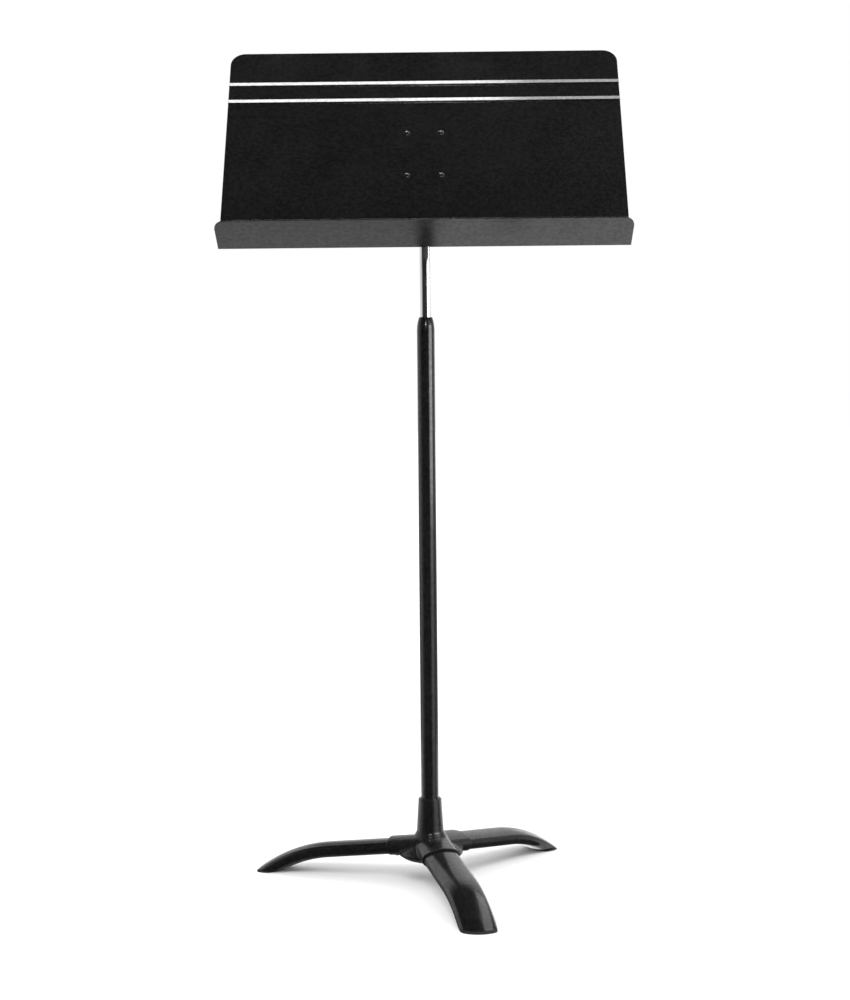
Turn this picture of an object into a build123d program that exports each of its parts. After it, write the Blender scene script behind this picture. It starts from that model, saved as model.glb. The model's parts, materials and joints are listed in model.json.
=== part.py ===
from build123d import *
import math
import os

# All sizes are in millimetres and degrees. The origin is the point of the floor under the post's axis.
# The player stands on the -Y side, +X is to their right and +Z is up.

# Fits and gaps between pieces
seat_gap = 0.02
running_gap = 0.05
slip_gap = 0.15
free_gap = 0.3

# Desk: one sheet with a ledge folded forward along its lower edge and two pressed beads
desk_width = 508.0
desk_height = 317.5
ledge_depth = 56.0
sheet = 1.6
fold_radius = 2.0
desk_corner = 19.0
ledge_corner = 16.0
bead_below_top = 56.2
bead_pitch = 28.6
bead_count = 2
bead_upper_slope = 6.5
bead_lower_slope = 2.0
bead_height = 1.6
bead_round = 0.8
desk_tilt = 31.2

# Tilt pivot: where the desk hangs on the rod
pivot_height = 928.0
pivot_above_ledge = 146.7
pivot_behind_face = 31.0
bracket_width = 64.0
bracket_length = 92.0
bracket_sheet = 2.5
bracket_corner = 8.0
ear_radius = 13.0
ear_root = 46.0
rivet_spacing_across = 43.6
rivet_spacing_along = 68.4
rivet_radius = 2.4
rivet_head_radius = 4.0
rivet_head_height = 1.3
rivet_tail_radius = 3.8
rivet_tail_height = 2.0
bolt_radius = 4.0
bolt_head_flats = 13.0
bolt_head_height = 5.3
bolt_tip = 2.0
bolt_chamfer = 0.8
hex_bevel = 30.0
nut_height = 8.0
nut_collar_height = 2.2
nut_collar_radius = 5.6
friction_washer_thickness = 1.5
friction_washer_radius = 11.0
spring_washer_thickness = 0.9
spring_washer_cone = 0.5
spring_washer_radius = 8.0
spring_washer_count = 2

# Knuckle on the top of the rod
knuckle_width = 16.0
knuckle_head_radius = 12.0
knuckle_drop = 24.0
knuckle_shoulder_radius = 9.0
knuckle_shoulder_height = 7.0
knuckle_spigot_length = 30.0
knuckle_edge = 1.2
pin_radius = 2.0
pin_short_of_rod = 0.4

# Telescopic post
rod_radius = 7.15
rod_wall = 1.5
tube_radius = 11.5
tube_wall = 1.6
tube_top = 738.4
swage_length = 17.0
swage_mouth_wall = 1.2
swage_lip = 0.4
travel_up = 400.0
stop_gap = 2.0

# Friction clutch under the swaged mouth
clutch_length = 38.0
clutch_wall = 0.8
clutch_band = 8.0
clutch_tip = 5.0
clutch_slots = 6
clutch_slot_width = 1.2
clutch_below_swage = 1.5
ring_wire = 0.7
ring_opening = 20.0

# Guide at the lower end of the rod
plug_length = 25.0
plug_flange = 3.0
guide_length = 22.0
spindle_radius = 4.0
groove_depth = 1.0
retainer_thickness = 1.2
retainer_radius = 6.5
spindle_tip = 2.5
spindle_chamfer = 0.6

# Legs: bent flat-oval tubes, turned a little about their length and cut level at the floor
leg_names = ("front", "right", "left")
leg_turn = 15.0
leg_width = 45.5
leg_height = 20.5
leg_side_radius = 7.5
leg_wall = 1.8
leg_slope = 6.6
leg_roll = 6.0
leg_mouth_height = 42.05
leg_bend_start = 140.0
leg_bend_radius = 183.0
leg_bend_angle = 52.0
sole_thickness = 3.0
sole_inset = 0.5
foot_plug_height = 12.0

# Hub casting
socket_mouth = 53.0
socket_depth = 22.0
socket_wall = 2.0
socket_lift = 0.7
socket_rim = 0.8
hub_bottom = 28.5
hub_floor = 6.0
bowl_bottom_radius = 27.0
bowl_knee_radius = 35.0
bowl_knee_height = 31.2
bowl_rim_radius = 46.5
bowl_rim_height = 38.9
neck_radius = 25.0
neck_height = 53.0
collar_bottom = 66.0
collar_top = 109.6
collar_bottom_radius = 17.7
collar_top_radius = 15.2
collar_chamfer = 1.5
bowl_round = 4.5
neck_round = 8.0
seam_round = 4.0
set_screw_radius = 3.0
set_screw_height = 90.0
set_screw_sunk = 0.6
set_screw_key = 3.0
set_screw_key_depth = 2.2
leg_rivet_reach = 46.0
leg_rivet_radius = 2.4
leg_rivet_head_radius = 4.4
leg_rivet_head_height = 1.6
leg_rivet_tail_radius = 3.6
leg_rivet_tail_height = 1.6

# Worked out from the sizes above
rod_inner = rod_radius - rod_wall
tube_inner = tube_radius - tube_wall
tube_bottom = hub_bottom + hub_floor
swage_start = tube_top - swage_length
rod_top = pivot_height - knuckle_drop
clutch_top = swage_start - clutch_below_swage
clutch_bottom = clutch_top - clutch_length
rod_bottom = clutch_bottom - stop_gap - travel_up + plug_flange + slip_gap
guide_top = rod_bottom - plug_flange - slip_gap
guide_bottom = guide_top - guide_length
ledge_under = -pivot_above_ledge
desk_top = ledge_under + desk_height
desk_back = pivot_behind_face - sheet
bracket_back = desk_back - bracket_sheet
ear_inner = knuckle_width / 2 + slip_gap + friction_washer_thickness
ear_outer = ear_inner + bracket_sheet
washer_stack = spring_washer_count * (spring_washer_thickness + spring_washer_cone)
leg_pitch = 360.0 / len(leg_names)
slope_sin = math.sin(math.radians(leg_slope))
slope_cos = math.cos(math.radians(leg_slope))
slope_tan = slope_sin / slope_cos
socket_inner = socket_mouth - socket_depth

# The desk's own axes: X across, Y up along the sheet, Z out of its face, with the pivot at zero
tilt_rad = math.radians(desk_tilt)
desk_axes = Plane(
    origin=(0, 0, pivot_height),
    x_dir=(1, 0, 0),
    z_dir=(0, -math.cos(tilt_rad), math.sin(tilt_rad)),
)


def on_desk(part):
    """Place a piece drawn in the desk's own axes."""
    return part.moved(desk_axes.location)


def disc(radius, bottom, top, bore=0.0):
    """Upright round disc, with an optional bore."""
    ring = Circle(radius)
    if bore:
        ring -= Circle(bore)
    return Pos(0, 0, bottom) * extrude(ring, amount=top - bottom)


def crosswise(part):
    """Lay a piece drawn along Z over so that it runs along X."""
    return part.rotate(Axis.Y, 90)


def hexagon(flats, bottom, top):
    """Upright hexagonal prism, measured across its flats."""
    outline = RegularPolygon(flats / 2, 6, major_radius=False)
    return Pos(0, 0, bottom) * extrude(outline, amount=top - bottom)


def turned(points):
    """Solid of revolution about Z from (radius, height) points."""
    outline = make_face(Polyline(*points, close=True))
    return revolve(Plane.XZ * outline, Axis.Z)


def hex_blank(flats, bottom, top):
    """Hexagonal prism with the corners of its upper end turned off."""
    corner = flats / math.sqrt(3)
    drop = (corner - flats / 2) * math.tan(math.radians(hex_bevel))
    blank = turned([(0, bottom), (corner, bottom), (corner, top - drop), (flats / 2, top), (0, top)])
    return hexagon(flats, bottom, top) & blank


def round_corners(face, corners, radius):
    """Round the corners of a flat outline that lie at the given points."""
    found = [min(face.vertices(), key=lambda v: (Vector(*c) - Vector(v)).length) for c in corners]
    return fillet(found, radius)


def dome_rivet(radius, head_radius, head_height, grip, tail_radius, tail_height, tail_gap=0.0):
    """Rivet along Z: its domed head stands above zero, its grip and flat tail lie below."""
    ball = (head_radius**2 + head_height**2) / (2 * head_height)
    half_angle = math.asin(head_radius / ball) / 2
    crown = (ball * math.sin(half_angle), head_height - ball + ball * math.cos(half_angle))
    dome = ThreePointArc((head_radius, 0), crown, (0, head_height))
    rim = Line((0, 0), (head_radius, 0))
    axis = Line((0, head_height), (0, 0))
    head = revolve(Plane.XZ * make_face(rim + dome + axis), Axis.Z)
    shank = disc(radius, -grip - tail_gap - tail_height, 0)
    tail = disc(tail_radius, -grip - tail_gap - tail_height, -grip - tail_gap)
    return head + shank + tail


def rivet_places():
    """The bracket's rivets, across and along the desk."""
    half_x, half_y = rivet_spacing_across / 2, rivet_spacing_along / 2
    return [(x, y) for x in (-half_x, half_x) for y in (-half_y, half_y)]


def bead_points(face, crest):
    """One pressed bead, seen end on: a low ridge on the face with a steep lower side."""
    return [
        (crest - bead_lower_slope, face),
        (crest, face + bead_height),
        (crest + bead_upper_slope, face),
    ]


def desk_side(face, ledge):
    """One side of the folded sheet, from the ledge's front edge up to the desk's top edge."""
    crests = [desk_top - bead_below_top - n * bead_pitch for n in reversed(range(bead_count))]
    ridge = [point for crest in crests for point in bead_points(face, crest)]
    front = (ledge, pivot_behind_face + ledge_depth)
    return [front, (ledge, face)] + ridge + [(desk_top, face)]


def make_desk_panel():
    front = desk_side(pivot_behind_face, ledge_under + sheet)
    back = desk_side(desk_back, ledge_under)
    outline = make_face(Polyline(*front, *reversed(back), close=True))
    outline = round_corners(outline, front[2:-1] + back[2:-1], bead_round)
    outline = round_corners(outline, [front[1]], fold_radius)
    outline = round_corners(outline, [back[1]], fold_radius + sheet)
    panel = extrude(Plane.YZ * outline, amount=desk_width / 2, both=True)
    panel = fillet(panel.edges().filter_by(Axis.Z).group_by(Axis.Y)[-1], desk_corner)
    panel = fillet(panel.edges().filter_by(Axis.Y).group_by(Axis.Z)[-1], ledge_corner)
    for x, y in rivet_places():
        panel -= Pos(x, y, 0) * disc(rivet_radius + seat_gap, desk_back - sheet, pivot_behind_face + sheet)
    return on_desk(panel)


def make_tilt_bracket():
    plate = Pos(0, 0, bracket_back) * extrude(
        RectangleRounded(bracket_width, bracket_length, bracket_corner), amount=bracket_sheet
    )
    plate_middle = desk_back - bracket_sheet / 2
    root = Line((-ear_root / 2, plate_middle), (ear_root / 2, plate_middle))
    ear_outline = make_hull(Circle(ear_radius).edges() + root.edges())
    ear = extrude(Plane.YZ * ear_outline, amount=bracket_sheet)
    bracket = plate + Pos(ear_inner, 0, 0) * ear + Pos(-ear_outer, 0, 0) * ear
    bracket -= crosswise(disc(bolt_radius + running_gap, -bracket_width, bracket_width))
    for x, y in rivet_places():
        bracket -= Pos(x, y, 0) * disc(rivet_radius + seat_gap, bracket_back - sheet, desk_back + sheet)
    return on_desk(bracket)


def make_bracket_rivets():
    rivet = dome_rivet(
        rivet_radius, rivet_head_radius, rivet_head_height, sheet + bracket_sheet,
        rivet_tail_radius, rivet_tail_height,
    )
    return [on_desk(Pos(x, y, pivot_behind_face) * rivet) for x, y in rivet_places()]


def make_pivot_bolt():
    shank_end = ear_outer + washer_stack + nut_height + bolt_tip
    shank = turned([
        (0, -ear_outer),
        (bolt_radius, -ear_outer),
        (bolt_radius, shank_end - bolt_chamfer),
        (bolt_radius - bolt_chamfer, shank_end),
        (0, shank_end),
    ])
    head = hex_blank(bolt_head_flats, ear_outer, ear_outer + bolt_head_height)
    return on_desk(crosswise(shank + head.mirror(Plane.XY)))


def make_pivot_nut():
    bottom = ear_outer + washer_stack
    hex_top = bottom + nut_height - nut_collar_height
    nut = hex_blank(bolt_head_flats, bottom, hex_top)
    nut += disc(nut_collar_radius, hex_top, bottom + nut_height)
    nut -= disc(bolt_radius + seat_gap, bottom, bottom + nut_height)
    return on_desk(crosswise(nut))


def make_spring_washers():
    bore = bolt_radius + running_gap
    height = spring_washer_thickness + spring_washer_cone
    washers = []
    for n in range(spring_washer_count):
        near, far = (0.0, spring_washer_cone) if n % 2 else (spring_washer_cone, 0.0)
        cone = turned([
            (bore, near),
            (spring_washer_radius, far),
            (spring_washer_radius, far + spring_washer_thickness),
            (bore, near + spring_washer_thickness),
        ])
        washers.append(on_desk(crosswise(Pos(0, 0, ear_outer + n * height) * cone)))
    return washers


def make_friction_washers():
    outer = ear_inner
    inner = outer - friction_washer_thickness
    bore = bolt_radius + running_gap
    right = disc(friction_washer_radius, inner, outer, bore)
    left = disc(friction_washer_radius, -outer, -inner, bore)
    return [on_desk(crosswise(right)), on_desk(crosswise(left))]


def make_tilt_knuckle():
    half = knuckle_width / 2
    foot = Line((-knuckle_shoulder_radius, -knuckle_drop), (knuckle_shoulder_radius, -knuckle_drop))
    outline = make_hull(Circle(knuckle_head_radius).edges() + foot.edges())
    head = extrude(Plane.YZ * outline, amount=half, both=True)
    head = chamfer(head.edges().group_by(Axis.X)[0] + head.edges().group_by(Axis.X)[-1], knuckle_edge)
    shoulder = disc(knuckle_shoulder_radius, -knuckle_drop, -knuckle_drop + knuckle_shoulder_height)
    spigot_end = -knuckle_drop - knuckle_spigot_length
    spigot = disc(rod_inner - seat_gap, spigot_end, -knuckle_drop)
    knuckle = head + shoulder + spigot
    knuckle -= crosswise(disc(bolt_radius + running_gap, -knuckle_width, knuckle_width))
    knuckle = Pos(0, 0, pivot_height) * knuckle
    return knuckle - pin_bore()


def pin_height():
    """The cross pin sits halfway up the knuckle's spigot."""
    return rod_top - knuckle_spigot_length / 2


def pin_bore():
    return Pos(0, 0, pin_height()) * crosswise(disc(pin_radius + seat_gap, -tube_radius, tube_radius))


def make_knuckle_pin():
    half = rod_radius - pin_short_of_rod
    return Pos(0, 0, pin_height()) * crosswise(disc(pin_radius, -half, half))


def make_inner_rod():
    return disc(rod_radius, rod_bottom, rod_top, rod_inner) - pin_bore()


def make_rod_end_plug():
    groove_top = guide_bottom - slip_gap
    groove_bottom = groove_top - retainer_thickness
    tip = groove_bottom - spindle_tip
    groove = spindle_radius - groove_depth
    return turned([
        (0, rod_bottom + plug_length),
        (rod_inner - seat_gap, rod_bottom + plug_length),
        (rod_inner - seat_gap, rod_bottom),
        (rod_radius, rod_bottom),
        (rod_radius, rod_bottom - plug_flange),
        (spindle_radius, rod_bottom - plug_flange),
        (spindle_radius, groove_top),
        (groove, groove_top),
        (groove, groove_bottom),
        (spindle_radius, groove_bottom),
        (spindle_radius, tip + spindle_chamfer),
        (spindle_radius - spindle_chamfer, tip),
        (0, tip),
    ])


def make_rod_guide():
    return disc(tube_inner - running_gap, guide_bottom, guide_top, spindle_radius + running_gap)


def make_guide_retainer():
    top = guide_bottom - slip_gap
    bore = spindle_radius - groove_depth + seat_gap
    return disc(retainer_radius, top - retainer_thickness, top, bore)


def clutch_tip_radius():
    """Inside radius of the fingers' tips, where they grip the rod."""
    return rod_radius + running_gap


def make_clutch_sleeve():
    band_outer = tube_inner - seat_gap
    band_inner = band_outer - clutch_wall
    tip_inner = clutch_tip_radius()
    tip_outer = tip_inner + clutch_wall
    band_top = clutch_bottom + clutch_band
    tip_bottom = clutch_top - clutch_tip
    sleeve = turned([
        (band_outer, clutch_bottom),
        (band_outer, band_top),
        (tip_outer, tip_bottom),
        (tip_outer, clutch_top),
        (tip_inner, clutch_top),
        (tip_inner, tip_bottom),
        (band_inner, band_top),
        (band_inner, clutch_bottom),
    ])
    slot = Pos(tube_radius / 2, 0, (band_top + clutch_top) / 2) * Box(
        tube_radius, clutch_slot_width, clutch_top - band_top
    )
    for n in range(clutch_slots):
        sleeve -= slot.rotate(Axis.Z, n * 360.0 / clutch_slots)
    return sleeve


def make_clutch_ring():
    """Open wire ring round the fingers' tips."""
    ring_radius = clutch_tip_radius() + clutch_wall + running_gap + ring_wire / 2
    section = Plane.XZ * Pos(ring_radius, 0) * Circle(ring_wire / 2)
    ring = revolve(section, Axis.Z, revolution_arc=360 - ring_opening)
    return Pos(0, 0, clutch_top - clutch_tip / 2) * ring


def make_outer_tube():
    mouth_inner = rod_radius + free_gap
    mouth_outer = mouth_inner + swage_mouth_wall
    outside = TangentArc((tube_radius, swage_start), (mouth_outer, tube_top), tangent=(0, 1))
    inside = TangentArc((tube_inner, swage_start), (mouth_inner, tube_top), tangent=(0, 1))
    sides = Polyline(
        (tube_inner, swage_start), (tube_inner, tube_bottom),
        (tube_radius, tube_bottom), (tube_radius, swage_start),
    )
    lip = Line((mouth_outer, tube_top), (mouth_inner, tube_top))
    outline = make_face(sides + outside + lip + inside)
    outline = round_corners(outline, [(mouth_outer, tube_top)], swage_lip)
    return revolve(Plane.XZ * outline, Axis.Z)


def oval(grow=0.0):
    """The leg's flat-oval outline of four tangent arcs, grown or shrunk all round."""
    half_w = leg_width / 2 + grow
    half_h = leg_height / 2 + grow
    side = leg_side_radius + grow
    offset = half_w - side
    crown = (offset**2 + half_h**2 - side**2) / (2 * (half_h - side))
    meet_x = offset + side * offset / (crown - side)
    meet_y = side * (crown - half_h) / (crown - side)
    top = ThreePointArc((-meet_x, meet_y), (0, half_h), (meet_x, meet_y))
    right = ThreePointArc((meet_x, meet_y), (half_w, 0), (meet_x, -meet_y))
    bottom = ThreePointArc((meet_x, -meet_y), (0, -half_h), (-meet_x, -meet_y))
    left = ThreePointArc((-meet_x, -meet_y), (-half_w, 0), (-meet_x, meet_y))
    return make_face(top + right + bottom + left)


def axis_height(reach):
    """Height of a leg's straight axis at a distance out from the post."""
    return leg_mouth_height - (reach - socket_mouth) * slope_tan


def across_leg(reach):
    """Plane square to a leg's straight axis and turned with it, drawn for a leg that runs along +X."""
    level = Plane(origin=(reach, 0, axis_height(reach)), x_dir=(0, 1, 0), z_dir=(slope_cos, 0, -slope_sin))
    return Plane(level.location * Rot(0, 0, leg_roll))


def straight_bar(reach_from, reach_to, grow, lift=0.0):
    """Straight stretch of the leg's outline between two distances from the post."""
    outline = across_leg(reach_from) * Pos(0, lift) * oval(grow)
    return extrude(outline, amount=(reach_to - reach_from) / slope_cos)


def bent_bar(grow):
    """The whole bent leg, past the floor, as a solid bar."""
    start = (socket_inner, axis_height(socket_inner))
    bend = (leg_bend_start, axis_height(leg_bend_start))
    run = Line(start, bend)
    curve = JernArc(bend, (slope_cos, -slope_sin), leg_bend_radius, -leg_bend_angle)
    path = Plane.XZ * (run + curve)
    return sweep(across_leg(socket_inner) * oval(grow), path=path)


def slab(bottom, top):
    """Level slab as wide as the whole base."""
    reach = 2 * (leg_bend_start + leg_bend_radius)
    return Pos(0, 0, (bottom + top) / 2) * Box(2 * reach, 2 * reach, top - bottom)


def leg_rivet_plane():
    """Where a leg's rivet enters from below: on the socket's underside, facing down."""
    drop = leg_height / 2 + seat_gap + socket_wall - socket_lift
    centre = across_leg(leg_rivet_reach)
    return Plane(
        origin=centre.origin - centre.y_dir * drop,
        x_dir=centre.x_dir,
        z_dir=-centre.y_dir,
    )


def leg_rivet_bore():
    length = socket_wall + leg_wall + leg_rivet_tail_height
    return disc(leg_rivet_radius + seat_gap, -length, length).moved(leg_rivet_plane().location)


def leg_angle(n):
    """Direction of leg n, turned about Z from +X."""
    return -90 + leg_turn + n * leg_pitch


def make_leg(n):
    leg = bent_bar(0) - bent_bar(-leg_wall)
    leg &= slab(sole_thickness, collar_top)
    leg -= leg_rivet_bore()
    return leg.rotate(Axis.Z, leg_angle(n))


def make_foot(n):
    sole = bent_bar(-sole_inset) & slab(0, sole_thickness)
    plug = bent_bar(-leg_wall - slip_gap) & slab(sole_thickness, sole_thickness + foot_plug_height)
    return (sole + plug).rotate(Axis.Z, leg_angle(n))


def make_leg_rivets():
    curve_gap = seat_gap + running_gap + slip_gap
    rivet = dome_rivet(
        leg_rivet_radius, leg_rivet_head_radius, leg_rivet_head_height, socket_wall - socket_lift + leg_wall,
        leg_rivet_tail_radius, leg_rivet_tail_height, curve_gap,
    ).moved(leg_rivet_plane().location)
    return [rivet.rotate(Axis.Z, leg_angle(n)) for n in range(len(leg_names))]


def hub_core():
    """Bowl, neck and collar, turned about the post's axis."""
    knee = (bowl_knee_radius, bowl_knee_height)
    rim = (bowl_rim_radius, bowl_rim_height)
    neck = (neck_radius, neck_height)
    root = (collar_bottom_radius, collar_bottom)
    outline = make_face(Polyline(
        (0, hub_bottom), (bowl_bottom_radius, hub_bottom), knee, rim, neck, root,
        (collar_top_radius, collar_top - collar_chamfer), (collar_top_radius - collar_chamfer, collar_top),
        (0, collar_top), close=True,
    ))
    outline = round_corners(outline, [knee, rim], bowl_round)
    outline = round_corners(outline, [neck, root], neck_round)
    return revolve(Plane.XZ * outline, Axis.Z)


def set_screw_axis(part):
    """Place a piece drawn along Z on the set screw's axis, at the back of the collar."""
    return Pos(0, 0, set_screw_height) * part.rotate(Axis.X, -90)


def collar_radius(height):
    """Outside radius of the collar's taper at a height."""
    share = (height - collar_bottom) / (collar_top - collar_bottom)
    return collar_bottom_radius + share * (collar_top_radius - collar_bottom_radius)


def make_collar_set_screw():
    inner = tube_radius + running_gap
    outer = collar_radius(set_screw_height) - set_screw_sunk
    screw = disc(set_screw_radius, inner, outer)
    screw -= hexagon(set_screw_key, outer - set_screw_key_depth, outer)
    return set_screw_axis(screw)


def make_base_hub():
    hub = hub_core()
    for n in range(len(leg_names)):
        boss = straight_bar(0, socket_mouth, seat_gap + socket_wall, socket_lift)
        rim = boss.edges().group_by(Axis.X)[-1]
        hub += fillet(rim, socket_rim).rotate(Axis.Z, leg_angle(n))
    hub = fillet(hub.edges().filter_by(GeomType.BSPLINE), seam_round)
    for n in range(len(leg_names)):
        socket = straight_bar(socket_inner, socket_mouth + socket_depth, seat_gap)
        hub -= socket.rotate(Axis.Z, leg_angle(n))
        hub -= leg_rivet_bore().rotate(Axis.Z, leg_angle(n))
    hub -= disc(tube_radius + seat_gap, tube_bottom, collar_top)
    hub -= set_screw_axis(disc(set_screw_radius + seat_gap, 0, collar_bottom_radius))
    return hub


def save(name, shape):
    """Write one node: a piece, or a group of like pieces that stay separate solids."""
    solids = shape if isinstance(shape, list) else [shape]
    solids = [solid for piece in solids for solid in piece.solids()]
    export_step(solids[0] if len(solids) == 1 else Compound(children=solids), f"parts/{name}.step")


os.makedirs("parts", exist_ok=True)
save("desk_panel", make_desk_panel())
save("tilt_bracket", make_tilt_bracket())
save("bracket_rivets", make_bracket_rivets())
save("pivot_bolt", make_pivot_bolt())
save("pivot_nut", make_pivot_nut())
save("spring_washers", make_spring_washers())
save("friction_washers", make_friction_washers())
save("tilt_knuckle", make_tilt_knuckle())
save("knuckle_pin", make_knuckle_pin())
save("inner_rod", make_inner_rod())
save("rod_end_plug", make_rod_end_plug())
save("rod_guide", make_rod_guide())
save("guide_retainer", make_guide_retainer())
save("clutch_sleeve", make_clutch_sleeve())
save("clutch_ring", make_clutch_ring())
save("outer_tube", make_outer_tube())
save("base_hub", make_base_hub())
save("collar_set_screw", make_collar_set_screw())
for number, leg in enumerate(leg_names):
    save(f"leg_{leg}", make_leg(number))
    save(f"foot_{leg}", make_foot(number))
save("leg_rivets", make_leg_rivets())
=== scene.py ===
import json
import math
import bpy
import bmesh
from mathutils import Matrix, Vector

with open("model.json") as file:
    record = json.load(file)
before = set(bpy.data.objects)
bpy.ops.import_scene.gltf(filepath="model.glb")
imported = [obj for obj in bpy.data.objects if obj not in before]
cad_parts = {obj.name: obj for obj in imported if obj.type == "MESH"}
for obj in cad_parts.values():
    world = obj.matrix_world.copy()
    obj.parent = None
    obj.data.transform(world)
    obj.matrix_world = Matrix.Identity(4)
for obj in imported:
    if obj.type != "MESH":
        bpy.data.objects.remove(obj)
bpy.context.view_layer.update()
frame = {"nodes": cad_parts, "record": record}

# All lengths are in metres. +Z is up, -Y is towards the player and +X is to the player's right.

# Camera, as it stood for the photograph. The sensor is in millimetres and spans the picture's height.
camera_place = Vector((0.01673, -2.17236, 0.62259))
camera_pitch = math.radians(3.189)
camera_yaw = math.radians(-0.521)
camera_roll = math.radians(-0.52)
focal_pixels = 1670.5
image_height = 1000
sensor = 36.0
view_reach = 200.0

# Tones of the finishes and of the floor, linear
paint_black = (0.0032, 0.0032, 0.0033, 1.0)
paint_faded = (0.0112, 0.011, 0.0108, 1.0)
paint_rubbed = (0.06, 0.058, 0.056, 1.0)
dust_tone = (0.22, 0.21, 0.19, 1.0)
chrome_bright = (0.94, 0.945, 0.95, 1.0)
chrome_hazy = (0.88, 0.885, 0.89, 1.0)
zinc_bright = (0.62, 0.62, 0.63, 1.0)
zinc_hazy = (0.5, 0.49, 0.47, 1.0)
spring_bright = (0.42, 0.42, 0.43, 1.0)
spring_hazy = (0.3, 0.29, 0.3, 1.0)
fibre_dark = (0.16, 0.07, 0.035, 1.0)
fibre_light = (0.3, 0.15, 0.08, 1.0)
nylon_dark = (0.72, 0.7, 0.66, 1.0)
nylon_light = (0.86, 0.85, 0.81, 1.0)
rubber_dark = (0.008, 0.008, 0.008, 1.0)
rubber_light = (0.022, 0.022, 0.021, 1.0)
floor_dark = (0.92, 0.92, 0.92, 1.0)
floor_light = (0.94, 0.94, 0.94, 1.0)
white = (1.0, 1.0, 1.0, 1.0)

# Patterns on the finishes. A scale is in features to the metre. An edge is where a mask starts and is full.
grain_depth = 0.0004
grain_share = 0.55
tone_scale = 9.0
tone_edge = (0.3, 0.7)
mottle_scale = 230.0
mottle_edge = (0.32, 0.68)
wear_width = 0.0008
wear_scale = 160.0
wear_facing_edge = (0.985, 0.86)
wear_patch_edge = (0.42, 0.62)
scratch_depth = 0.0002
scratch_edge = (0.012, 0.0)
scratch_patch_edge = (0.48, 0.66)
haze_edge = (0.35, 0.7)
dust_scale = 420.0
dust_cloud_scale = 22.0
dust_level_edge = (0.35, 1.0)
dust_speck_edge = (0.5, 0.72)

# Values of each kind of finish. Paint eases edges by the radius paint_edge, and a spread is the least and the
# most that smudges or tones add to the roughness.
paint_edge = 0.0006
paint_mottle = 0.5
paint_fading = 0.2
paint_wear = 0.5
paint_dust = 0.04
paint_dust_dulling = 0.1
paint_sparkle = 0.3
paint_haze_scale = 14.0
paint_spread = (-0.02, 0.04)
plate_haze_scale = 120.0
plate_patch_scale = 90.0
plate_spread = (-0.06, 0.08)
plate_scratch_dulling = 0.2
plate_scratch_relief = 0.08
chrome_roughness = 0.1
chrome_haze_scale = 45.0
chrome_patch_scale = 60.0
chrome_lines = (1600.0, 1600.0, 25.0)
chrome_spread = (0.0, 0.04)
chrome_scratch_dulling = 0.04
solid_spread = (-0.06, 0.06)
solid_grain_to_peel = 5

# Floor and light
floor_half = 40.0
floor_cloud_scale = 3.0
floor_roughness = 0.9
floor_gloss = 0.1
sky_light = 1.12
paper_light = 1.0
key_light = 1.45
key_angle = math.radians(24)
key_place = (-0.22, -0.9, 1.0)
stand_foot = (0.0, 0.0, 0.0)

# Room that the glossy faces reflect, in brightness against white paper. An edge is where a soft change starts
# and ends: a turn is in degrees to the right of straight back or straight front, a rise in degrees above
# level, and a side in shares of the way to the right. A pair of edges is where a patch comes in and goes out.
wall_tone = 0.72
upper_wall_rise = (11, 20)
right_wall_turn = (6, 14), (72, 90)
right_wall_more = 0.8
upper_right_turn = (-2, 5)
upper_right_more = 0.2
upper_strip_turn = (-17, -14), (-9, -6)
upper_strip_less = 0.4
ground_rise = (-1, -6)
near_floor_tone = 0.12
far_floor_rise = (-19, -12)
left_floor_turn = (-126, -106), (-63, -46)
left_floor_more = 0.75
right_floor_turn = (26, 46), (72, 95)
right_floor_more = 0.95
rear_floor_rise = (-28, -20)
rear_floor_turn = (-3, 1), (75, 95)
rear_floor_more = 0.4
front_shade_turn = (-105, -48), (22, 50)
side_shade_turn = (28, 52), (92, 105)
side_shade = 0.5
overhead_shade_rise = (36, 50)
ceiling_glow_rise = (50, 60)
ceiling_glow_side = (0.0, 0.12)
ceiling_glow = 0.07
darkest_tone = 0.02


def set_inputs(made, inputs):
    """Set the inputs of a node: a socket is linked, anything else is written into the input."""
    tree = made.id_data
    for name, value in inputs.items():
        if isinstance(value, bpy.types.NodeSocket):
            tree.links.new(value, made.inputs[name])
        else:
            made.inputs[name].default_value = value


def put(tree, kind, inputs=None, **settings):
    """Add a node of this kind with its settings and inputs."""
    made = tree.nodes.new("ShaderNode" + kind)
    for name, value in settings.items():
        setattr(made, name, value)
    set_inputs(made, inputs or {})
    return made


def calc(tree, operation, *values, clamp=False):
    """A sum, product or other step of arithmetic."""
    made = put(tree, "Math", dict(enumerate(values)), operation=operation, use_clamp=clamp)
    return made.outputs[0]


def remap(tree, value, low, high, out_low=0.0, out_high=1.0, smooth=True):
    """Spread the stretch of a value from low to high over another stretch."""
    made = put(tree, "MapRange", {
        "Value": value, "From Min": low, "From Max": high, "To Min": out_low, "To Max": out_high,
    }, interpolation_type="SMOOTHSTEP" if smooth else "LINEAR")
    return made.outputs["Result"]


def between(tree, value, coming_in, going_out):
    """1 between two soft edges and 0 outside them."""
    start, end = going_out
    return calc(tree, "MULTIPLY", remap(tree, value, *coming_in), remap(tree, value, end, start))


def noise(tree, vector, scale, detail=2.0, roughness=0.5):
    """Cloudy noise, from 0 to 1."""
    made = put(tree, "TexNoise", {"Vector": vector, "Scale": scale, "Detail": detail, "Roughness": roughness})
    return made.outputs[0]


def blend_value(tree, share, first, second):
    """Mix two values by a share or a mask."""
    return put(tree, "Mix", {0: share, 2: first, 3: second}, data_type="FLOAT").outputs[0]


def blend_colour(tree, share, first, second):
    """Mix two colours by a mask."""
    return put(tree, "Mix", {0: share, 6: first, 7: second}, data_type="RGBA").outputs[2]


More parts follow.
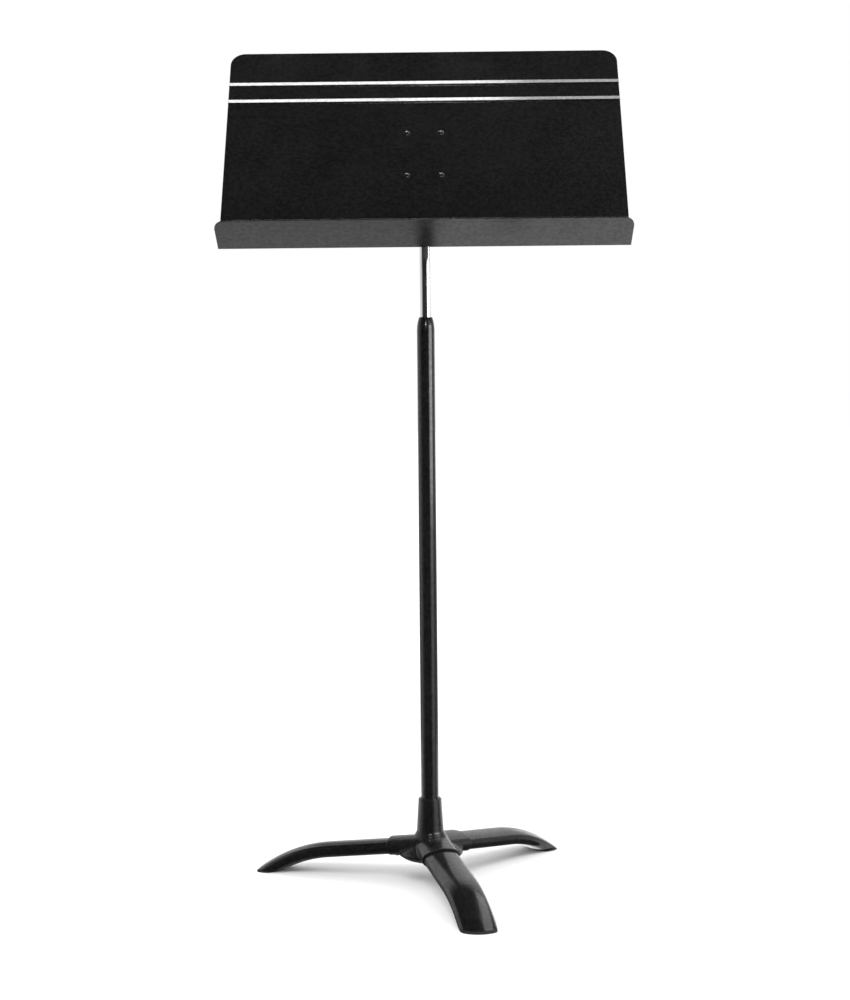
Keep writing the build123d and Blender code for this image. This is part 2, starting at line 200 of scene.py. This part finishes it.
def start_group(name, inputs, outputs):
    """Start a shared effect with named inputs, each of its kind, and named outputs."""
    group = bpy.data.node_groups.new(name, "ShaderNodeTree")
    for socket, kind in inputs.items():
        group.interface.new_socket(socket, in_out="INPUT", socket_type="NodeSocket" + kind)
    for socket in outputs:
        group.interface.new_socket(socket, in_out="OUTPUT", socket_type="NodeSocketFloat")
    return group, group.nodes.new("NodeGroupInput").outputs


def end_group(group, results):
    """Send the results of a shared effect to its outputs."""
    out = group.nodes.new("NodeGroupOutput")
    for name, socket in results.items():
        group.links.new(socket, out.inputs[name])
    return group


def make_coat_grain():
    """Sprayed paint: fine grain over a soft orange peel, with wide tones and a close mottle."""
    group, given = start_group(
        "coat_grain",
        {"Vector": "Vector", "Grain Scale": "Float", "Peel Scale": "Float"},
        ["Height", "Tone", "Mottle"],
    )
    grain = noise(group, given["Vector"], given["Grain Scale"], detail=3.0, roughness=0.6)
    peel = noise(group, given["Vector"], given["Peel Scale"], detail=1.0)
    tone = noise(group, given["Vector"], tone_scale, detail=4.0, roughness=0.55)
    mottle = noise(group, given["Vector"], mottle_scale, detail=2.0, roughness=0.6)
    return end_group(group, {
        "Height": blend_value(group, grain_share, peel, grain),
        "Tone": remap(group, tone, *tone_edge),
        "Mottle": remap(group, mottle, *mottle_edge),
    })


def make_edge_wear():
    """Paint rubbed thin along edges, in broken patches."""
    group, given = start_group(
        "edge_wear", {"Vector": "Vector", "Width": "Float", "Break Scale": "Float"}, ["Mask"],
    )
    rounded = put(group, "Bevel", {"Radius": given["Width"]}, samples=4).outputs[0]
    true_normal = put(group, "NewGeometry").outputs["Normal"]
    facing = put(group, "VectorMath", {0: rounded, 1: true_normal}, operation="DOT_PRODUCT")
    edge = remap(group, facing.outputs["Value"], *wear_facing_edge)
    patches = noise(group, given["Vector"], given["Break Scale"], detail=4.0, roughness=0.65)
    patches = remap(group, patches, *wear_patch_edge)
    return end_group(group, {"Mask": calc(group, "MULTIPLY", edge, patches)})


def make_rub_lines():
    """Fine hairline scratches that run one way, in patches."""
    group, given = start_group(
        "rub_lines", {"Vector": "Vector", "Stretch": "Vector", "Patch Scale": "Float"}, ["Mask"],
    )
    drawn = put(group, "VectorMath", {0: given["Vector"], 1: given["Stretch"]}, operation="MULTIPLY")
    lines = noise(group, drawn.outputs[0], 1.0, detail=2.0, roughness=0.6)
    off_line = calc(group, "ABSOLUTE", calc(group, "SUBTRACT", lines, 0.5))
    thin = remap(group, off_line, *scratch_edge)
    patches = noise(group, given["Vector"], given["Patch Scale"], detail=3.0)
    patches = remap(group, patches, *scratch_patch_edge)
    return end_group(group, {"Mask": calc(group, "MULTIPLY", thin, patches)})


def make_handling_haze():
    """Soft smudges left by hands and wiping."""
    group, given = start_group("handling_haze", {"Vector": "Vector", "Scale": "Float"}, ["Mask"])
    cloud = noise(group, given["Vector"], given["Scale"], detail=5.0, roughness=0.6)
    return end_group(group, {"Mask": remap(group, cloud, *haze_edge)})


def make_settled_dust():
    """A little dust on faces that point up, thicker in clouds."""
    group, given = start_group(
        "settled_dust", {"Vector": "Vector", "Facing": "Vector", "Scale": "Float"}, ["Mask"],
    )
    up = put(group, "SeparateXYZ", {0: given["Facing"]}).outputs["Z"]
    level = remap(group, up, *dust_level_edge)
    specks = noise(group, given["Vector"], given["Scale"], detail=3.0, roughness=0.7)
    clouds = noise(group, given["Vector"], dust_cloud_scale, detail=3.0)
    cover = calc(group, "MULTIPLY", remap(group, specks, *dust_speck_edge), clouds)
    return end_group(group, {"Mask": calc(group, "MULTIPLY", level, cover)})


coat_grain = make_coat_grain()
edge_wear = make_edge_wear()
rub_lines = make_rub_lines()
handling_haze = make_handling_haze()
settled_dust = make_settled_dust()


def start_material(name):
    """A new material with its shader and the piece's own coordinates."""
    material = bpy.data.materials.new(name)
    material.use_nodes = True
    tree = material.node_tree
    tree.nodes.clear()
    shader = put(tree, "BsdfPrincipled")
    out = put(tree, "OutputMaterial", {"Surface": shader.outputs[0]})
    out.is_active_output = True
    return material, tree, shader, put(tree, "TexCoord").outputs


def effect(tree, group, inputs):
    """Place a shared effect in a material."""
    return put(tree, "Group", inputs, node_tree=group).outputs


def bump(tree, height, strength, depth, edge_round=None):
    """Turn a height into a surface normal, on edges that are eased by a small radius where one is given."""
    made = put(tree, "Bump", {"Height": height, "Strength": strength, "Distance": depth})
    if edge_round:
        set_inputs(made, {"Normal": put(tree, "Bevel", {"Radius": edge_round}, samples=8).outputs[0]})
    return made.outputs[0]


def vary_roughness(tree, mask, roughness, spread, smooth=True):
    """Roughness that a mask moves over a spread about its set value."""
    least, most = spread
    return remap(tree, mask, 0.0, 1.0, roughness + least, roughness + most, smooth)


def black_paint(name, roughness, grain, peel, relief):
    """Black paint on metal, with grain, smudges, worn edges and a trace of dust."""
    material, tree, shader, coords = start_material(name)
    place = coords["Object"]
    film = effect(tree, coat_grain, {"Vector": place, "Grain Scale": grain, "Peel Scale": peel})
    worn = effect(tree, edge_wear, {"Vector": place, "Width": wear_width, "Break Scale": wear_scale})["Mask"]
    haze = effect(tree, handling_haze, {"Vector": place, "Scale": paint_haze_scale})["Mask"]
    settling = {"Vector": place, "Facing": coords["Normal"], "Scale": dust_scale}
    specks = effect(tree, settled_dust, settling)["Mask"]
    fading = calc(tree, "MULTIPLY", film["Tone"], paint_fading)
    tone = calc(tree, "MULTIPLY_ADD", film["Mottle"], paint_mottle, fading)
    colour = blend_colour(tree, tone, paint_black, paint_faded)
    colour = blend_colour(tree, calc(tree, "MULTIPLY", worn, paint_wear), colour, paint_rubbed)
    colour = blend_colour(tree, calc(tree, "MULTIPLY", specks, paint_dust), colour, dust_tone)
    smudged = vary_roughness(tree, haze, roughness, paint_spread, smooth=False)
    dusty = calc(tree, "MULTIPLY", specks, paint_dust_dulling)
    set_inputs(shader, {
        "Base Color": colour,
        "Roughness": calc(tree, "ADD", smudged, dusty, clamp=True),
        "Normal": bump(tree, film["Height"], relief, grain_depth, paint_edge),
        "Coat Weight": calc(tree, "MULTIPLY", film["Mottle"], paint_sparkle),
        "Coat Roughness": roughness,
    })
    return material


def plated_metal(name, bright, hazy, roughness, lines):
    """Bare or plated metal with fine machining lines and smudges."""
    material, tree, shader, coords = start_material(name)
    place = coords["Object"]
    haze = effect(tree, handling_haze, {"Vector": place, "Scale": plate_haze_scale})["Mask"]
    rubbing = {"Vector": place, "Stretch": lines, "Patch Scale": plate_patch_scale}
    marks = effect(tree, rub_lines, rubbing)["Mask"]
    smudged = vary_roughness(tree, haze, roughness, plate_spread, smooth=False)
    scratched = calc(tree, "MULTIPLY", marks, plate_scratch_dulling)
    set_inputs(shader, {
        "Base Color": blend_colour(tree, haze, bright, hazy),
        "Metallic": 1.0,
        "Roughness": calc(tree, "ADD", smudged, scratched),
        "Normal": bump(tree, marks, plate_scratch_relief, scratch_depth),
    })
    return material


def polished_chrome():
    """Chromed steel rod: mirror bright, with faint haze and wear lines along it."""
    material, tree, shader, coords = start_material("polished_chrome")
    place = coords["Object"]
    haze = effect(tree, handling_haze, {"Vector": place, "Scale": chrome_haze_scale})["Mask"]
    rubbing = {"Vector": place, "Stretch": chrome_lines, "Patch Scale": chrome_patch_scale}
    marks = effect(tree, rub_lines, rubbing)["Mask"]
    smudged = vary_roughness(tree, haze, chrome_roughness, chrome_spread)
    scratched = calc(tree, "MULTIPLY", marks, chrome_scratch_dulling)
    set_inputs(shader, {
        "Base Color": blend_colour(tree, haze, chrome_bright, chrome_hazy),
        "Metallic": 1.0,
        "Roughness": calc(tree, "ADD", smudged, scratched),
    })
    return material


def plain_solid(name, dark, light, roughness, grain, relief):
    """Rubber, fibre or nylon: a mottled solid with a fine skin."""
    material, tree, shader, coords = start_material(name)
    peel = grain / solid_grain_to_peel
    film = effect(tree, coat_grain, {"Vector": coords["Object"], "Grain Scale": grain, "Peel Scale": peel})
    set_inputs(shader, {
        "Base Color": blend_colour(tree, film["Height"], dark, light),
        "Roughness": vary_roughness(tree, film["Tone"], roughness, solid_spread),
        "Normal": bump(tree, film["Height"], relief, grain_depth),
    })
    return material


finishes = {
    "desk_coat": black_paint("desk_paint", roughness=0.15, grain=1700.0, peel=300.0, relief=0.03),
    "bracket_coat": black_paint("bracket_paint", roughness=0.22, grain=1700.0, peel=300.0, relief=0.04),
    "rivet_coat": black_paint("rivet_paint", roughness=0.2, grain=2400.0, peel=400.0, relief=0.02),
    "tube_coat": black_paint("tube_enamel", roughness=0.2, grain=2200.0, peel=180.0, relief=0.02),
    "leg_coat": black_paint("leg_enamel", roughness=0.16, grain=2200.0, peel=150.0, relief=0.012),
    "hub_iron": black_paint("hub_paint", roughness=0.27, grain=900.0, peel=120.0, relief=0.05),
    "knuckle_iron": black_paint("knuckle_paint", roughness=0.28, grain=900.0, peel=120.0, relief=0.08),
    "chrome": polished_chrome(),
    "zinc_steel": plated_metal(
        "zinc_plate", zinc_bright, zinc_hazy, roughness=0.32, lines=(900.0, 60.0, 60.0)),
    "spring_steel": plated_metal(
        "spring_steel", spring_bright, spring_hazy, roughness=0.34, lines=(60.0, 60.0, 1200.0)),
    "fibre": plain_solid(
        "pressed_fibre", fibre_dark, fibre_light, roughness=0.8, grain=1500.0, relief=0.4),
    "nylon": plain_solid(
        "white_nylon", nylon_dark, nylon_light, roughness=0.48, grain=900.0, relief=0.1),
    "foot_rubber": plain_solid(
        "foot_rubber", rubber_dark, rubber_light, roughness=0.7, grain=1400.0, relief=0.4),
}


def dress_nodes():
    """Give every CAD node the finish of its slot."""
    for part in frame["record"]["subparts"]:
        mesh = frame["nodes"][part["node"]].data
        mesh.materials.clear()
        mesh.materials.append(finishes[part["material_slot"]])


dress_nodes()


def make_floor():
    """Wide pale studio floor that stays out of reflections."""
    bm = bmesh.new()
    bmesh.ops.create_grid(bm, x_segments=1, y_segments=1, size=floor_half)
    mesh = bpy.data.meshes.new("studio_floor")
    bm.to_mesh(mesh)
    bm.free()
    floor = bpy.data.objects.new("studio_floor", mesh)
    bpy.context.scene.collection.objects.link(floor)
    material, tree, shader, coords = start_material("pale_floor")
    cloud = noise(tree, coords["Object"], floor_cloud_scale, detail=3.0)
    set_inputs(shader, {
        "Base Color": blend_colour(tree, cloud, floor_dark, floor_light),
        "Roughness": floor_roughness,
        "Specular IOR Level": floor_gloss,
    })
    mesh.materials.append(material)
    floor.visible_glossy = False


make_floor()


def aim(place, target):
    """Turn of a lamp that stands at one point and faces another."""
    return (Vector(target) - Vector(place)).to_track_quat("-Z", "Y").to_euler()


def add_lamp(name, kind, place, target, settings, diffuse=True, glossy=True):
    """A studio lamp that the camera doesn't see."""
    lamp = bpy.data.lights.new(name, kind)
    for key, value in settings.items():
        setattr(lamp, key, value)
    holder = bpy.data.objects.new(name, lamp)
    holder.location = place
    holder.rotation_euler = aim(place, target)
    holder.visible_camera = False
    holder.visible_diffuse = diffuse
    holder.visible_glossy = glossy
    bpy.context.scene.collection.objects.link(holder)


def add_panel(name, place, target, size, radiance):
    """Bright panel that shows in glossy faces only."""
    width, height = size
    power = radiance * math.pi * width * height
    settings = {"shape": "RECTANGLE", "size": width, "size_y": height, "energy": power}
    add_lamp(name, "AREA", place, target, settings, diffuse=False)


def make_lamps():
    """Soft key light for the floor, and the panels that show in paint and chrome."""
    add_lamp("key", "SUN", key_place, stand_foot, {"energy": key_light, "angle": key_angle}, glossy=False)
    add_panel(
        "right_panel", place=(2.0, -1.1, 0.9), target=(0.0, 0.0, 0.9),
        size=(1.7, 1.06), radiance=5.2)
    add_panel(
        "ceiling_right", place=(1.22, 1.0, 2.5), target=(1.22, 0.99, 0.0),
        size=(1.0, 2.4), radiance=2.2)
    add_panel(
        "front_lamp", place=(0.0, -2.3, 1.58), target=(0.0, 0.0, 0.85),
        size=(0.3, 0.3), radiance=30.0)
    add_panel(
        "ceiling_strip", place=(-0.2, 0.26, 2.55), target=(-0.2, 0.25, 0.0),
        size=(0.75, 0.32), radiance=14.0)
    add_panel(
        "ceiling_strip_end", place=(0.4, 0.26, 2.55), target=(0.4, 0.25, 0.0),
        size=(0.45, 0.32), radiance=5.0)
    add_panel(
        "floor_card_left", place=(-0.39, 0.42, 0.002), target=(-0.39, 0.43, 1.0),
        size=(0.8, 0.6), radiance=0.85)
    add_panel(
        "floor_card_right", place=(0.41, 0.42, 0.002), target=(0.41, 0.43, 1.0),
        size=(0.8, 0.6), radiance=1.2)


make_lamps()


def make_room(tree):
    """Brightness of the room in reflections: pale walls and far floor, dark in front and overhead."""
    axes = put(tree, "SeparateXYZ", {0: put(tree, "TexCoord").outputs["Generated"]}).outputs
    x, y, z = axes["X"], axes["Y"], axes["Z"]
    to_front = calc(tree, "DEGREES", calc(tree, "ARCTAN2", x, calc(tree, "MULTIPLY", y, -1.0)))
    to_back = calc(tree, "DEGREES", calc(tree, "ARCTAN2", x, y))
    rise = calc(tree, "DEGREES", calc(tree, "ARCSINE", z))

    right_wall = between(tree, to_back, *right_wall_turn)
    low_wall = calc(tree, "MULTIPLY_ADD", right_wall, right_wall_more, wall_tone)
    upper_right = remap(tree, to_back, *upper_right_turn)
    high_wall = calc(tree, "MULTIPLY_ADD", upper_right, upper_right_more, wall_tone)
    upper_strip = between(tree, to_back, *upper_strip_turn)
    high_wall = calc(tree, "MULTIPLY_ADD", upper_strip, -upper_strip_less, high_wall)
    wall = blend_value(tree, remap(tree, rise, *upper_wall_rise), low_wall, high_wall)

    left_floor = between(tree, to_front, *left_floor_turn)
    right_floor = calc(tree, "MULTIPLY", between(tree, to_front, *right_floor_turn), right_floor_more)
    far_floor = calc(tree, "MULTIPLY_ADD", left_floor, left_floor_more, right_floor)
    ground = calc(tree, "MULTIPLY_ADD", far_floor, remap(tree, rise, *far_floor_rise), near_floor_tone)
    rear_floor = between(tree, to_back, *rear_floor_turn)
    rear_floor = calc(tree, "MULTIPLY", rear_floor, remap(tree, rise, *rear_floor_rise))
    ground = calc(tree, "MULTIPLY_ADD", rear_floor, rear_floor_more, ground)
    lit = blend_value(tree, remap(tree, rise, *ground_rise), wall, ground)

    front_dark = between(tree, to_front, *front_shade_turn)
    side_dark = calc(tree, "MULTIPLY", between(tree, to_back, *side_shade_turn), side_shade)
    dark = calc(tree, "MAXIMUM", front_dark, side_dark)
    dark = calc(tree, "MAXIMUM", dark, remap(tree, rise, *overhead_shade_rise))
    glow = calc(tree, "MULTIPLY", remap(tree, x, *ceiling_glow_side), remap(tree, rise, *ceiling_glow_rise))
    least = calc(tree, "MULTIPLY_ADD", glow, ceiling_glow, darkest_tone)
    return calc(tree, "MULTIPLY_ADD", lit, calc(tree, "SUBTRACT", 1.0, dark), least)


def make_world():
    """Even white light for the floor, and the room for what the glossy faces reflect."""
    world = bpy.data.worlds.new("studio")
    bpy.context.scene.world = world
    world.use_nodes = True
    tree = world.node_tree
    tree.nodes.clear()
    room = put(tree, "Background", {"Color": white, "Strength": make_room(tree)})
    sky = put(tree, "Background", {"Color": white, "Strength": sky_light})
    paper = put(tree, "Background", {"Color": white, "Strength": paper_light})
    path = put(tree, "LightPath").outputs
    light = put(tree, "MixShader", {0: path["Is Glossy Ray"], 1: sky.outputs[0], 2: room.outputs[0]})
    seen = put(tree, "MixShader", {0: path["Is Camera Ray"], 1: light.outputs[0], 2: paper.outputs[0]})
    put(tree, "OutputWorld", {"Surface": seen.outputs[0]})


make_world()


def make_camera():
    """Camera at the photograph's place, turn and focal length."""
    data = bpy.data.cameras.new("photo_camera")
    data.sensor_width = sensor
    data.lens = focal_pixels * sensor / image_height
    data.clip_end = view_reach
    camera = bpy.data.objects.new("photo_camera", data)
    turn = Matrix.Rotation(-camera_yaw, 4, "Z")
    turn = turn @ Matrix.Rotation(math.pi / 2 - camera_pitch, 4, "X")
    turn = turn @ Matrix.Rotation(camera_roll, 4, "Z")
    camera.matrix_world = Matrix.Translation(camera_place) @ turn
    bpy.context.scene.collection.objects.link(camera)
    bpy.context.scene.camera = camera


make_camera()
bpy.context.scene.view_settings.view_transform = "Standard"
